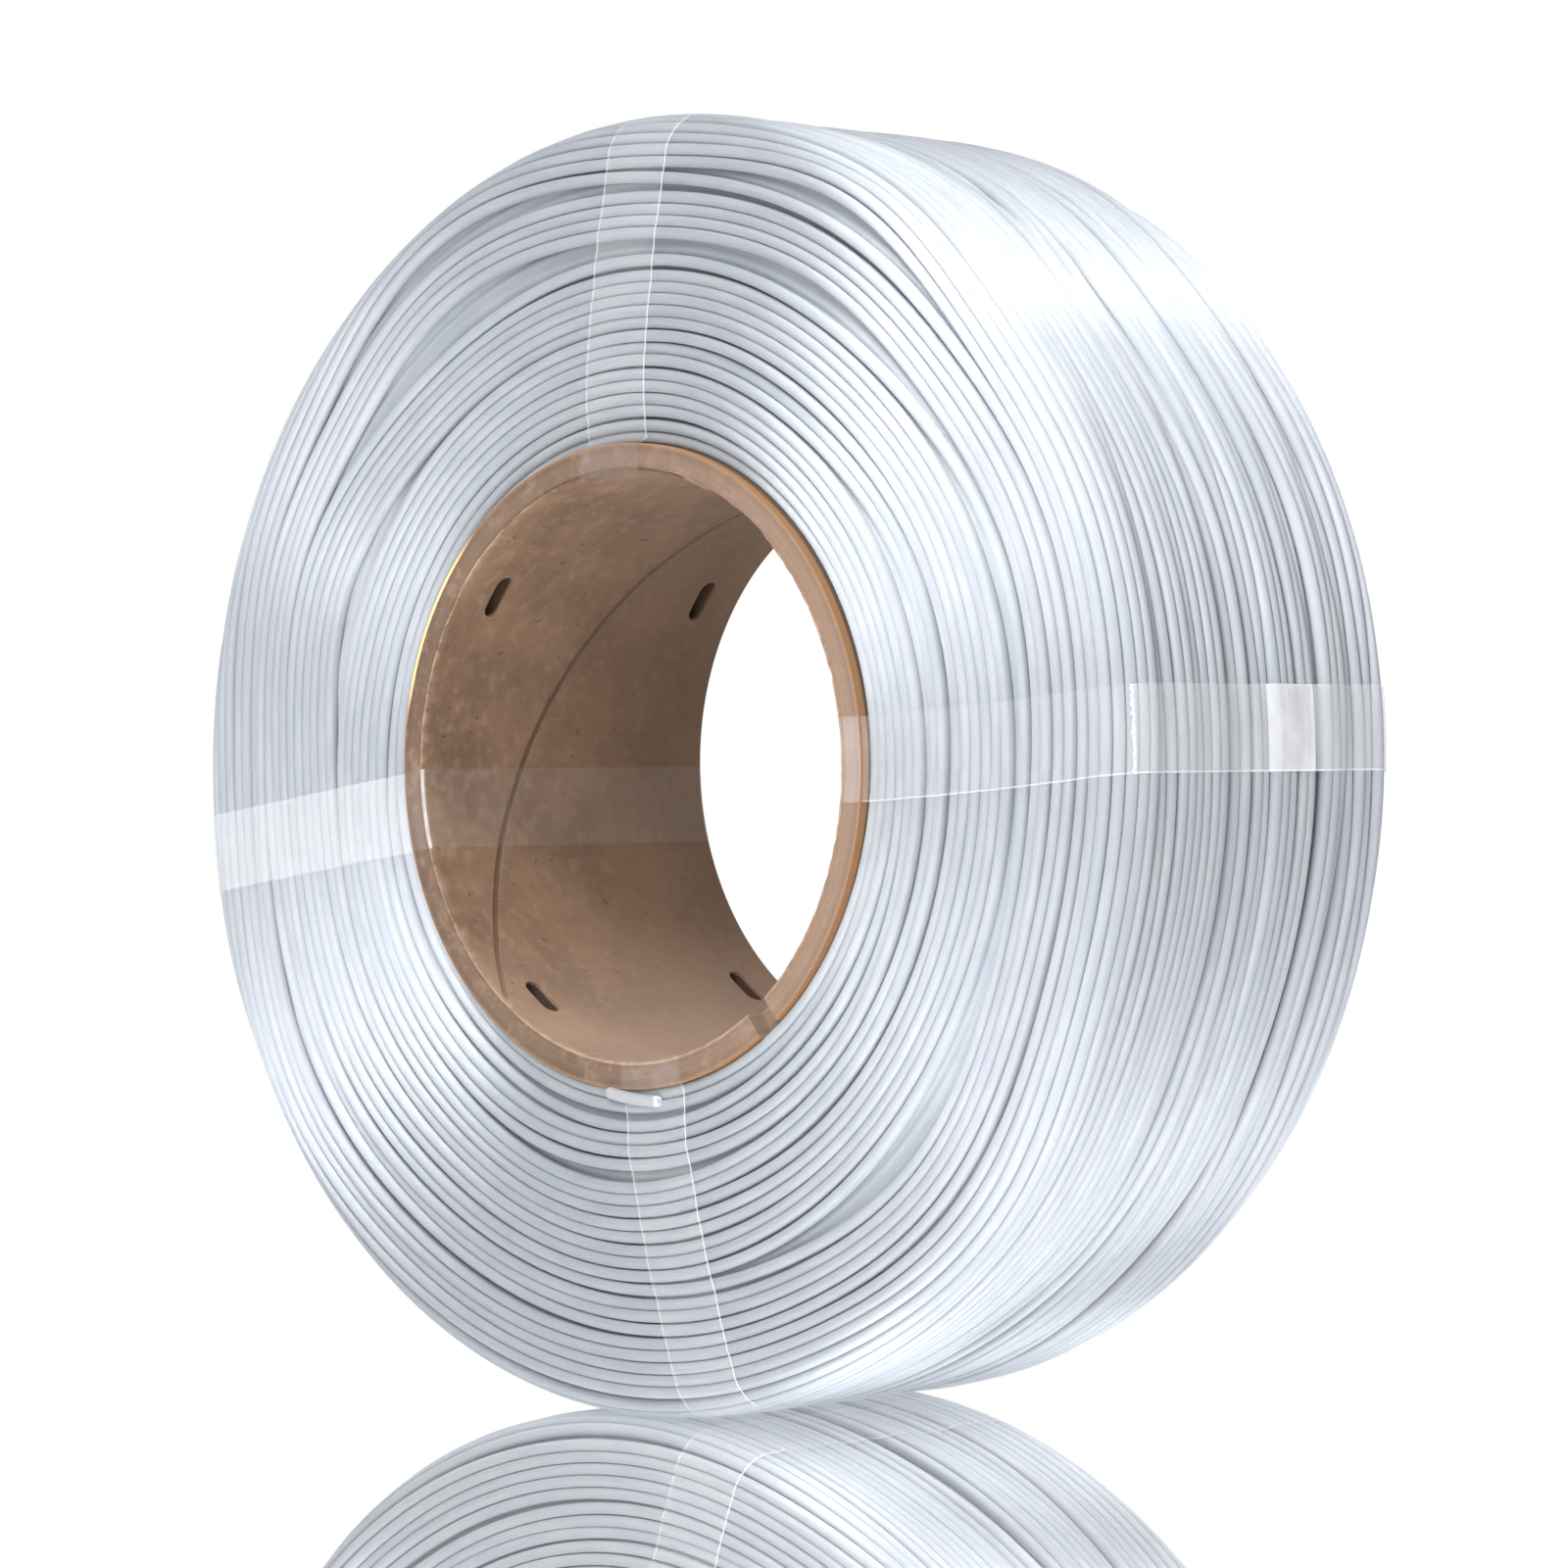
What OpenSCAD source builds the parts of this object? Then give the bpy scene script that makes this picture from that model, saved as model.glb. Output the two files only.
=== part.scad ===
// Filament refill coil: one strand wound on a bare paperboard core and held by four clear tape straps.
// The origin is the centre of the bore. The coil's axis runs along Y, the front face looks along -Y
// and the coil stands on its rim. Angles go round the axis from +X towards +Z.

/* [Core] */
// Inside diameter of the core, which slides over a spool's hub
core_id = 86; // [80:1:90]
// Length of the core along the axis
core_len = 60; // [56:1:64]
// Thickness of one paper ply
ply_t = 0.5; // [0.4:0.05:0.6]

/* [Slots and key notch] */
// Width of a slot along the axis
slot_w = 3; // [2:0.5:5]
// Length of a slot round the core, end to end
slot_l = 7.2; // [6:0.2:12]
// Distance from a row of slots to the nearer end of the core
slot_inset = 8; // [6:0.5:12]
// Slots in each of the two rows
slots_per_row = 4; // [2:1:6]
// Angle of the first slot in a row
first_slot_angle = 54; // [0:1:90]
// Width of the key notch in the front end of the core
notch_w = 4; // [3:0.5:6]
// Depth of the key notch along the axis
notch_depth = 3; // [2:0.5:4]
// Angle of the key notch
notch_angle = -52; // [-70:1:-40]

/* [Winding] */
// Diameter of the filament
filament_d = 1.75; // [1.6:0.05:1.8]
// Outside diameter of the winding
coil_od = 190.4; // [186:0.2:196]
// Radius of the winding's rounded outer edges
edge_r = 6; // [5:0.5:8]
// Depth of the grooves between neighbouring turns
groove = 0.45; // [0.3:0.05:0.6]
// Distance between neighbouring turns on the rim
turn_pitch = 1.8; // [1.8:0.05:2]
// Distance between neighbouring turns on the two faces
ring_pitch = 1.95; // [1.9:0.05:2.1]
// How far the innermost turns lie behind the ends of the core
face_dish = 1.2; // [0.8:0.1:1.6]
// Width over which the face comes out level with the ends of the core
dish_span = 8; // [6:1:12]
// Width of the flattened strip that the coil stands on
rest_flat_w = 17; // [12:1:18]

/* [Straps] */
// Width of the tape
tape_w = 12; // [10:1:14]
// Thickness of the tape
tape_t = 0.1; // [0.08:0.01:0.12]
// Length of the tape's overlap at its two ends
tape_lap = 14; // [10:1:20]

/* [Hidden] */

$fn = 96;
ply_count = 8;
core_r = core_id / 2 + ply_count * ply_t;
coil_r = coil_od / 2;
half_len = core_len / 2;
strand_r = filament_d / 2;
layer_r = coil_r - filament_d;
// Centre of an edge's rounding, as a radius and a distance along the axis
edge_centre = [coil_r - edge_r, half_len - edge_r];
// Height of the flattened strip below the axis
rest_drop = sqrt(coil_r * coil_r - rest_flat_w * rest_flat_w / 4);
// Room left round a loose strand end where it lies in the winding
end_gap = 0.02;
cut = 1;

// The start of the strand lies beside the front of the core: its radius, its place along the axis, its angles
start_r = core_r + strand_r + 0.7;
start_at = half_len - strand_r - 0.1;
start_angles = [-94, -81.3];
// The free end is the end of one turn of the outer layer, which stops just past the left strap
last_turn = -5;
free_angles = [150, 196];
free_gap_end = 206;

top_angle = 91.5;
left_angle = 189;
bottom_angle = -80.5;
right_angle = 3.5;

// Turns a shape whose axis is Z so that its axis is Y and its top becomes the front
module about_axis() {
    rotate([90, 0, 0]) children();
}

// Distance of the winding's face from the middle of the coil, at a radius
function face_at(radius) = half_len - face_dish * max(0, 1 - (radius - core_r) / dish_span);

// ---- Core ----

// One obround slot along X, through a wall that lies across Z
module obround(length, width, height) {
    for (side = [-1, 1])
        translate([side * (length - width) / 2, 0, 0]) cylinder(d = width, h = height, center = true);
    cube([length - width, width, height], center = true);
}

// A row of slots round the core
module slot_row(at) {
    for (i = [0 : slots_per_row - 1])
        rotate([0, 0, first_slot_angle + i * 360 / slots_per_row])
            translate([core_r, 0, at]) rotate([0, 90, 0]) rotate([0, 0, 90])
                obround(slot_l, slot_w, core_r / 2);
}

module key_notch() {
    rotate([0, 0, notch_angle])
        translate([core_r, 0, half_len])
            cube([core_r / 2, notch_w, 2 * notch_depth], center = true);
}

// One ply of the core, counted outwards from 0, with the slots and the notch cut through it
module ply(index) {
    inner = core_id / 2 + index * ply_t;
    about_axis() difference() {
        cylinder(r = inner + ply_t, h = core_len, center = true);
        cylinder(r = inner, h = core_len + cut, center = true);
        slot_row(half_len - slot_inset);
        slot_row(slot_inset - half_len);
        key_notch();
    }
}

module core_liner() {
    color([0.45, 0.34, 0.28]) ply(0);
}

module body_ply(index) {
    color([0.66, 0.54, 0.46]) ply(index);
}

module core_wrap() {
    color([0.62, 0.42, 0.22]) ply(ply_count - 1);
}

// ---- Filament ----

// Half of the winding's cross-section: X is the radius and Y the distance along the axis
module winding_outline() {
    flat_r = edge_centre[0];
    polygon([
        [core_r, -face_at(core_r) + groove],
        [core_r + dish_span, -half_len + groove],
        [flat_r, -half_len + groove],
        [flat_r, half_len - groove],
        [core_r + dish_span, half_len - groove],
        [core_r, face_at(core_r) - groove]
    ]);
    translate([flat_r - cut, -edge_centre[1]]) square([edge_r - groove + cut, 2 * edge_centre[1]]);
    for (side = [-1, 1])
        translate([flat_r, side * edge_centre[1]]) circle(r = edge_r - groove);
    rim_turns();
    edge_turns();
    face_turns();
}

// Section of one turn: twelve sides, with a flat one outermost
module turn_section() {
    rotate(15) circle(d = filament_d, $fn = 12);
}

// The turns that show on the rim
module rim_turns() {
    count = floor(edge_centre[1] / turn_pitch);
    for (i = [-count : count])
        translate([coil_r - strand_r, i * turn_pitch]) turn_section();
}

// The turns that show on the two rounded edges
module edge_turns() {
    count = floor(edge_r * PI / 2 / turn_pitch);
    for (side = [-1, 1], i = [0 : count - 1])
        translate([edge_centre[0], side * edge_centre[1]])
            rotate(side * 90 * (i + 0.5) / count)
                translate([edge_r - strand_r, 0]) turn_section();
}

// The turns that show on the two faces
module face_turns() {
    first = core_r + strand_r;
    count = floor((edge_centre[0] - first) / ring_pitch);
    for (side = [-1, 1], i = [0 : count])
        translate([first + i * ring_pitch, side * (face_at(first + i * ring_pitch) - strand_r)])
            turn_section();
}

// A band of the cross-section between two radii
module band(inner, outer) {
    translate([inner, -core_len]) square([outer - inner, 2 * core_len]);
}

// A length of strand bent round the axis at a radius, between two angles, with room added round it
module bent_strand(radius, at, angles, room = 0) {
    rotate([0, 0, angles[0]])
        translate([0, 0, at])
            rotate_extrude(angle = angles[1] - angles[0])
                translate([radius, 0]) circle(d = filament_d + room);
}

module filament_inner_layers() {
    color([0.83, 0.84, 0.88]) about_axis() difference() {
        rotate_extrude() intersection() {
            winding_outline();
            band(core_r, layer_r);
        }
        bent_strand(start_r, start_at, start_angles + [-1, 1], 2 * end_gap);
    }
}

module filament_outer_layer() {
    color([0.86, 0.87, 0.9]) difference() {
        about_axis() difference() {
            rotate_extrude() intersection() {
                winding_outline();
                band(layer_r, coil_r + cut);
            }
            free_end_channel();
        }
        translate([-coil_r, -core_len, -rest_drop - coil_r]) cube([coil_od, 2 * core_len, coil_r]);
    }
}

// The gap in the last turn, which the free end of the strand lies in
module free_end_channel() {
    width = filament_d + 2 * end_gap;
    rotate([0, 0, free_angles[0]])
        rotate_extrude(angle = free_gap_end - free_angles[0])
            translate([layer_r - cut, last_turn * turn_pitch - width / 2])
                square([filament_d + 2 * cut, width]);
}

module filament_start_end() {
    color([0.9, 0.92, 0.94]) about_axis() bent_strand(start_r, start_at, start_angles);
}

module filament_outer_end() {
    color([0.88, 0.89, 0.92]) about_axis()
        bent_strand(coil_r - strand_r - end_gap, last_turn * turn_pitch, free_angles);
}

// ---- Straps ----

// Outline that a strap lies on, grown outwards by a thickness
module strap_outline(grow) {
    inner = core_id / 2 - grow;
    half = half_len + grow;
    translate([inner, -half]) square([edge_centre[0] - inner, 2 * half]);
    translate([inner, -edge_centre[1]]) square([coil_r + grow - inner, 2 * edge_centre[1]]);
    for (side = [-1, 1])
        translate([edge_centre[0], side * edge_centre[1]]) circle(r = edge_r + grow);
}

// Cross-section of a tape loop, with its doubled stretch on the rim or on the back face
module strap_section(lap_on_rim) {
    difference() {
        strap_outline(tape_t);
        strap_outline(0);
    }
    if (lap_on_rim)
        translate([coil_r + tape_t / 2, -tape_lap]) square([1.5 * tape_t, tape_lap]);
    else
        translate([(core_r + coil_r) / 2, -half_len - 2 * tape_t]) square([tape_lap, 1.5 * tape_t]);
}

// A loop of tape through the bore and round the winding, centred on an angle
module strap(angle, lap_on_rim = false) {
    color([0.93, 0.94, 0.95, 0.35]) about_axis() intersection() {
        rotate_extrude() strap_section(lap_on_rim);
        rotate([0, 0, angle]) translate([0, -tape_w / 2, -core_len]) cube([coil_od, tape_w, 2 * core_len]);
    }
}

module strap_top() {
    strap(top_angle);
}

module strap_left() {
    strap(left_angle);
}

module strap_bottom() {
    strap(bottom_angle);
}

module strap_right() {
    strap(right_angle, lap_on_rim = true);
}

core_liner();
body_ply(1);  // core_ply_2
body_ply(2);  // core_ply_3
body_ply(3);  // core_ply_4
body_ply(4);  // core_ply_5
body_ply(5);  // core_ply_6
body_ply(6);  // core_ply_7
core_wrap();
filament_inner_layers();
filament_outer_layer();
filament_start_end();
filament_outer_end();
strap_top();
strap_left();
strap_bottom();
strap_right();
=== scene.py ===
"""Looks of a filament refill coil: a silver strand wound on a paperboard core and held by four clear tapes.

Units are metres. The coil's axis runs along Y, its front face looks along -Y, and angles are in degrees and
go round the axis from +X towards +Z. A cross-section of the coil is drawn with the radius and the place along
the axis.
"""

import math

import bmesh
import bpy
import numpy as np
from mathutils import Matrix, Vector


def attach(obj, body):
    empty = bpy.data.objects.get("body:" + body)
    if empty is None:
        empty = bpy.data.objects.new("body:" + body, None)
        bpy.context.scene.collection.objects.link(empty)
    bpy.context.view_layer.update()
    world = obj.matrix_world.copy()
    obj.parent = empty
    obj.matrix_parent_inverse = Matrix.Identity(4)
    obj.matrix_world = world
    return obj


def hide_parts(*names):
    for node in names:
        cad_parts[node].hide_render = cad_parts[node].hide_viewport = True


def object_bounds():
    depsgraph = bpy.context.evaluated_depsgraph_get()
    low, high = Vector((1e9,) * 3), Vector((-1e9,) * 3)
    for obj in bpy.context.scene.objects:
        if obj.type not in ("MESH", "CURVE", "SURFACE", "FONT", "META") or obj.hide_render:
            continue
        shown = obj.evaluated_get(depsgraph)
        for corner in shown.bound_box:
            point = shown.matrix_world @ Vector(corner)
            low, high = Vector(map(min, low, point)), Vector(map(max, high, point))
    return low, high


MM = 0.001

# ---- Sizes shared with the CAD part ----
BORE_R = 43.0 * MM
CORE_R = 47.0 * MM
PLY_T = 0.5 * MM
HALF_LEN = 30.0 * MM
COIL_R = 95.2 * MM
REST_LEVEL = -94.82 * MM
EDGE_R = 6.0 * MM
STRAND_R = 0.875 * MM
FACE_DISH = 1.2 * MM
DISH_SPAN = 8.0 * MM
SLOT_W = 3.0 * MM
SLOT_L = 7.2 * MM
SLOT_ROW = 22.0 * MM
SLOT_ANGLES = (54, 144, 234, 324)
NOTCH_ANGLE = -52
NOTCH_W = 4.0 * MM
NOTCH_DEPTH = 3.0 * MM
TAPE_W = 12.0 * MM
START_ANGLES = (-94, -81.3)
START_R = 48.3 * MM
FREE_ANGLES = (150, 196)
FREE_GAP_END = 206
FREE_END_Y = 9.0 * MM

# ---- How finely the strand is drawn ----
TURN_STEPS = 288
SECTION_SIDES = 12
# A power of 2 gives a circle: above it the section is squarer, as pressed-together strands look
SECTION_POWER = 3.0
TURN_PITCH = 1.95 * MM
# Square of the size that the rounded end of a strand shrinks to before its cap
TIP_SIZE = 0.02
# Shift of the drawn lines from one strand to the next
LINE_SHIFT = 7.3
# The UV map whose U runs along a strand or a tape, and whose V runs round the strand or across the tape
UV_NAME = "Strand"

# ---- Small helpers ----


def smoothstep(value, low, high):
    t = np.clip((value - low) / (high - low), 0, 1)
    return t * t * (3 - 2 * t)


def bump_at(value, centre, width):
    """A smooth hump of height 1 at the centre."""
    return np.exp(-(((value - centre) / width) ** 2))


def angle_gap(angles, centre):
    """Signed difference between angles, from -180 to 180."""
    return (angles - centre + 180) % 360 - 180


def full_turn(steps):
    """Evenly spaced angles all round the axis."""
    return np.arange(steps) * 360 / steps


def ring_noise(rng, angles, rows, harmonics, falloff):
    """Rows of smooth random curves that close on themselves after a full turn, each of about unit size."""
    total = np.zeros((rows, len(angles)))
    power = 0.0
    for k in range(1, harmonics + 1):
        size = k**-falloff
        phase = rng.uniform(0, 2 * math.pi, (rows, 1))
        total += size * np.sin(k * np.radians(angles)[None, :] + phase)
        power += size * size / 2
    return total / math.sqrt(power)


def around_axis(radius, along, angles):
    """Points from a radius, a place along the axis and an angle."""
    turn = np.radians(angles)
    return np.stack([radius * np.cos(turn), along + 0 * radius, radius * np.sin(turn)], -1)


def rest_on_floor(points):
    """Flattens what would lie below the level that the coil stands on."""
    points[..., 2] = np.maximum(points[..., 2], REST_LEVEL)
    return points


# ---- Mesh helpers ----


def grid_faces(rows, cols, close_rows, close_cols):
    """Corner indices and UV corners of the quads of a grid of points."""
    row_count = rows if close_rows else rows - 1
    col_count = cols if close_cols else cols - 1
    i, j = np.meshgrid(np.arange(row_count), np.arange(col_count), indexing="ij")
    i, j = i.ravel(), j.ravel()
    corners = [(i, j), (i + 1, j), (i + 1, j + 1), (i, j + 1)]
    faces = np.stack([(a % rows) * cols + b % cols for a, b in corners], -1)
    places = np.stack([np.stack([a, b], -1) for a, b in corners], 1).astype(float)
    return faces, places


def mesh_object(name, points, faces, uvs=None, values=None):
    """A smooth mesh object from arrays of points and quads. values are floats stored per point."""
    mesh = bpy.data.meshes.new(name)
    mesh.vertices.add(len(points))
    mesh.vertices.foreach_set("co", np.asarray(points, np.float32).ravel())
    mesh.loops.add(faces.size)
    mesh.loops.foreach_set("vertex_index", faces.astype(np.int32).ravel())
    mesh.polygons.add(len(faces))
    mesh.polygons.foreach_set("loop_start", np.arange(0, faces.size, faces.shape[1], dtype=np.int32))
    mesh.update(calc_edges=True)
    mesh.polygons.foreach_set("use_smooth", np.ones(len(faces), bool))
    if uvs is not None:
        layer = mesh.uv_layers.new(name=UV_NAME)
        layer.data.foreach_set("uv", np.asarray(uvs, np.float32).ravel())
    for key, data in (values or {}).items():
        mesh.attributes.new(key, "FLOAT", "POINT").data.foreach_set("value", np.asarray(data, np.float32))
    mesh.validate()
    obj = bpy.data.objects.new(name, mesh)
    bpy.context.scene.collection.objects.link(obj)
    return obj


def dress(obj, material):
    obj.data.materials.clear()
    obj.data.materials.append(material)


def finish_piece(obj, material, slot, *nodes):
    """Gives a piece its material and its body, and hides the CAD nodes that it replaces. slot is not used."""
    dress(obj, material)
    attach(obj, "root")
    if nodes:
        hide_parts(*nodes)


def strand_section():
    """Outward and sideways parts of the corners of a strand's section, for a strand of radius 1."""
    turn = np.arange(SECTION_SIDES) * 2 * math.pi / SECTION_SIDES
    power = 2 / SECTION_POWER
    out = np.sign(np.cos(turn)) * np.abs(np.cos(turn)) ** power
    side = np.sign(np.sin(turn)) * np.abs(np.sin(turn)) ** power
    return out, side


def tubes(name, centres_r, centres_y, facing, angles, closed, tints, taper=None):
    """Strands, one for each row of centres, bent round the axis. facing is the way that each section looks:
    0 is away from the axis and pi/2 is along it. taper is the size of each section along an open strand."""
    count, steps = centres_r.shape
    out, side = strand_section()
    size = STRAND_R if taper is None else STRAND_R * taper[None, :, None]
    cosine, sine = np.cos(facing)[:, :, None], np.sin(facing)[:, :, None]
    ring_r = centres_r[:, :, None] + size * (out * cosine - side * sine)
    ring_y = centres_y[:, :, None] + size * (out * sine + side * cosine)
    points = rest_on_floor(around_axis(ring_r, ring_y, angles[None, :, None]))
    faces, places = grid_faces(steps, SECTION_SIDES, closed, True)
    all_faces, all_uvs = [], []
    step_length = np.radians(angles[1] - angles[0]) * COIL_R
    for k in range(count):
        all_faces.append(faces + k * steps * SECTION_SIDES)
        all_uvs.append(places * [step_length / TURN_PITCH, 1 / SECTION_SIDES] + [LINE_SHIFT * k, k])
    values = {"Tint": np.repeat(tints, steps * SECTION_SIDES)}
    obj = mesh_object(name, points.reshape(-1, 3), np.concatenate(all_faces), np.concatenate(all_uvs), values)
    if not closed:
        edit_mesh(obj, cap_ends)
    return obj


def rounded_ends(steps, length):
    """Sizes of the sections of an open strand whose two ends are rounded off."""
    along = np.linspace(0, length, steps)
    inside = np.clip(np.minimum(along, length - along) / STRAND_R, 0, 1)
    return np.sqrt(np.clip(1 - (1 - inside) ** 2, TIP_SIZE, None))


def edit_mesh(obj, change):
    bm = bmesh.new()
    bm.from_mesh(obj.data)
    change(bm)
    bm.to_mesh(obj.data)
    bm.free()


def cap_ends(bm):
    """Closes the open ends of a tube with small flat caps."""
    bmesh.ops.holes_fill(bm, edges=[e for e in bm.edges if e.is_boundary], sides=0)


def fix_normals(bm):
    bmesh.ops.recalc_face_normals(bm, faces=bm.faces)


# ---- The winding ----

# Distance between two turns that are pressed together
TIGHT_PITCH = 1.9 * STRAND_R
# How much the gaps differ from turn to turn, and how much each one opens and closes on its way round
GAP_SPREAD = 0.9
GAP_LIVELINESS = 0.95
# Number of waves in a full turn and how fast the shorter ones fade, for the gaps and for the depths
GAP_WAVES = (6, 0.9)
DEPTH_WAVES = (5, 0.8)
# Every turn lies about twice the uneven depth below the outline, and a few sink further
UNEVEN_DEPTH = 0.1 * MM
SUNK_DEPTH = 0.35 * MM
SUNK_RANGE = (1.0, 2.4)
# Valleys on the rim where turns sank between their neighbours: place along the axis from the middle of the
# rim, half width and depth in millimetres, angle of the deepest point and angular reach
VALLEYS = (
    (-5.5, 1.5, 1.3, 25, 60),
    (-7.0, 1.2, 1.0, -20, 45),
    (0.6, 1.1, 1.2, 12, 26),
    (0.2, 1.0, 0.7, -30, 30),
    (13.0, 1.3, 0.8, 30, 40),
    (12.4, 1.3, 1.4, -25, 50),
    (19.6, 1.1, 1.2, 18, 22),
    (17.2, 1.1, 1.1, -15, 24),
    (22.8, 1.2, 1.0, 5, 26),
    (-21.0, 1.4, 1.0, 12, 16),
    (-13.0, 1.2, 0.7, 10, 16),
    (-4.0, 1.5, 1.1, 170, 60),
    (9.0, 1.5, 1.2, 215, 55),
    (17.0, 1.2, 1.0, 130, 45),
)
# How far the winding leans back for each unit of height
LEAN = 0.016
# The rear face bulges: by how much, from where to where along the axis, and between which radii it rises
REAR_BULGE = 1.0 * MM
BULGE_ALONG = (18 * MM, 29 * MM)
BULGE_RADII = (55 * MM, 85 * MM)
# Stretched tape dips little between the turns that carry it: its slope and its radius of bending
TAPE_SAG = 0.06
TAPE_BRIDGE_R = 60 * MM


def valley_depth(way, angles, rim_middle, widening=1.0):
    """How far the turns sank into the valleys, at each way along the outline and each angle."""
    depth = np.zeros(np.broadcast(way, angles).shape)
    for centre, width, deepest, angle, span in VALLEYS:
        reach = bump_at(angle_gap(angles, angle), 0, span)
        depth += deepest * MM * bump_at(way, rim_middle + centre * MM, width * MM * widening) * reach
    return depth


class Winding:
    """Places of every turn that shows, all round the coil.

    A turn's centre is given by its way along the outline (from the inner front turn, up the front face, over
    the rim and down the rear face) and by its depth below the outline.
    """

    def __init__(self, seed):
        rng = np.random.default_rng(seed)
        self.angles = full_turn(TURN_STEPS)
        self.face_run = COIL_R - EDGE_R - (CORE_R + STRAND_R)
        self.bend_r = EDGE_R - STRAND_R
        self.bend_run = self.bend_r * math.pi / 2
        self.rim_run = 2 * (HALF_LEN - EDGE_R)
        self.rim_middle = self.face_run + self.bend_run + self.rim_run / 2
        self.length = 2 * self.face_run + 2 * self.bend_run + self.rim_run
        self.count = int(self.length / TURN_PITCH) + 1
        self.tints = rng.uniform(0, 1, self.count)
        self.way = self.spaced_turns(rng)
        self.depth = self.depths(rng)

    def spaced_turns(self, rng):
        """Way of each turn: strands side by side, with gaps that open and close as they wander."""
        own = rng.normal(0, 1, (self.count, 1))
        lively = ring_noise(rng, self.angles, self.count, *GAP_WAVES)
        gaps = np.exp(GAP_SPREAD * own + GAP_LIVELINESS * lively)
        gaps[0] = 0
        room = self.length - TIGHT_PITCH * (self.count - 1)
        gaps *= room / gaps.sum(0, keepdims=True)
        steps = gaps + TIGHT_PITCH
        steps[0] = 0
        return np.cumsum(steps, 0)

    def depths(self, rng):
        """How far each turn lies below the outline."""
        uneven = ring_noise(rng, self.angles, self.count, *DEPTH_WAVES)
        depth = UNEVEN_DEPTH * (2 + uneven) + SUNK_DEPTH * smoothstep(uneven, *SUNK_RANGE)
        depth += valley_depth(self.way, self.angles[None, :], self.rim_middle)
        return np.clip(depth, 0, None)

    def outline(self, way, depth):
        """Radius and place along the axis at a way along the outline, some depth below it."""
        a = self.face_run
        b = a + self.bend_run
        c = b + self.rim_run
        side = np.where(way < (b + c) / 2, -1.0, 1.0)
        from_core = np.where(side < 0, way, self.length - way)
        turn = np.clip((from_core - a) / self.bend_run, 0, 1) * math.pi / 2
        on_face = np.clip(from_core, None, a)
        on_rim = np.clip(way - b, 0, self.rim_run)
        dish = FACE_DISH * np.clip(1 - on_face / DISH_SPAN, 0, None)
        bend = self.bend_r - depth
        radius = CORE_R + STRAND_R + on_face + bend * np.sin(turn)
        along_edge = side * (HALF_LEN - EDGE_R + bend * np.cos(turn) - dish)
        along_rim = on_rim - self.rim_run / 2
        along = np.where((way > b) & (way < c), along_rim, along_edge)
        return radius, along

    def lean(self, radius, along, angles):
        """The whole winding leans back a little at its top, and its rear face bulges."""
        height = radius * np.sin(np.radians(angles))
        bulge = REAR_BULGE * smoothstep(along, *BULGE_ALONG) * smoothstep(radius, *BULGE_RADII)
        return along + LEAN * height + bulge

    def centres(self):
        radius, along = self.outline(self.way, self.depth)
        return radius, self.lean(radius, along, self.angles[None, :])

    def facing(self):
        """Which way the outline looks at each turn: 0 is away from the axis, +-pi/2 along it."""
        from_core = np.minimum(self.way, self.length - self.way)
        turn = np.clip((from_core - self.face_run) / self.bend_run, 0, 1) * math.pi / 2
        return np.where(self.way < self.length / 2, -1, 1) * (math.pi / 2 - turn)

    def surface(self, way, angles, lift):
        """Points of a sheet stretched over the turns, at each way and angle (both as grids)."""
        index = (angles % 360) / 360 * TURN_STEPS
        low = np.floor(index).astype(int)
        share = (index - low)[..., None]
        low, high = low % TURN_STEPS, (low + 1) % TURN_STEPS
        turn_way = self.way.T[low] * (1 - share) + self.way.T[high] * share
        turn_depth = self.depth.T[low] * (1 - share) + self.depth.T[high] * share
        off = np.abs(way[..., None] - turn_way)
        depth = np.min(turn_depth + TAPE_SAG * off + off**2 / (2 * TAPE_BRIDGE_R), axis=-1)
        radius, along = self.outline(way, depth - STRAND_R - lift)
        return radius, self.lean(radius, along, angles)


# ---- Material helpers ----


def new_material(name):
    material = bpy.data.materials.new(name)
    material.use_nodes = True
    tree = material.node_tree
    return material, tree, tree.nodes["Principled BSDF"]


def add_node(tree, kind, **properties):
    node = tree.nodes.new(kind)
    for name, value in properties.items():
        setattr(node, name, value)
    return node


def set_inputs(node, **values):
    """Uniform values of a node's sockets. An underscore in a name stands for a space."""
    for name, value in values.items():
        node.inputs[name.replace("_", " ")].default_value = value


def maths(tree, operation, *values):
    node = add_node(tree, "ShaderNodeMath", operation=operation)
    for socket, value in zip(node.inputs, values):
        if isinstance(value, (int, float)):
            socket.default_value = value
        else:
            tree.links.new(value, socket)
    return node.outputs[0]


def blend_colours(tree, share, first, second):
    """first where the share is 0 and second where it is 1."""
    node = add_node(tree, "ShaderNodeMix", data_type="RGBA")
    for socket, value in zip((node.inputs[0], node.inputs[6], node.inputs[7]), (share, first, second)):
        if isinstance(value, bpy.types.NodeSocket):
            tree.links.new(value, socket)
        else:
            socket.default_value = (*value, 1)
    return node.outputs[2]


def layered(tree, tone, layers):
    """A tone under layers, each given as the share that it covers and its own tone."""
    for share, colour in layers:
        tone = blend_colours(tree, share, tone, colour)
    return tone


def spread(tree, value, low, high, first=0.0, last=1.0):
    """Maps low..high smoothly to first..last."""
    node = add_node(tree, "ShaderNodeMapRange", interpolation_type="SMOOTHSTEP")
    set_inputs(node, From_Min=low, From_Max=high, To_Min=first, To_Max=last)
    tree.links.new(value, node.inputs["Value"])
    return node.outputs["Result"]


def cover(tree, value, low, high, most):
    """Share of a layer of colour: 0 where the value is low, rising smoothly to the most that it covers."""
    return maths(tree, "MULTIPLY", spread(tree, value, low, high), most)


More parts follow.
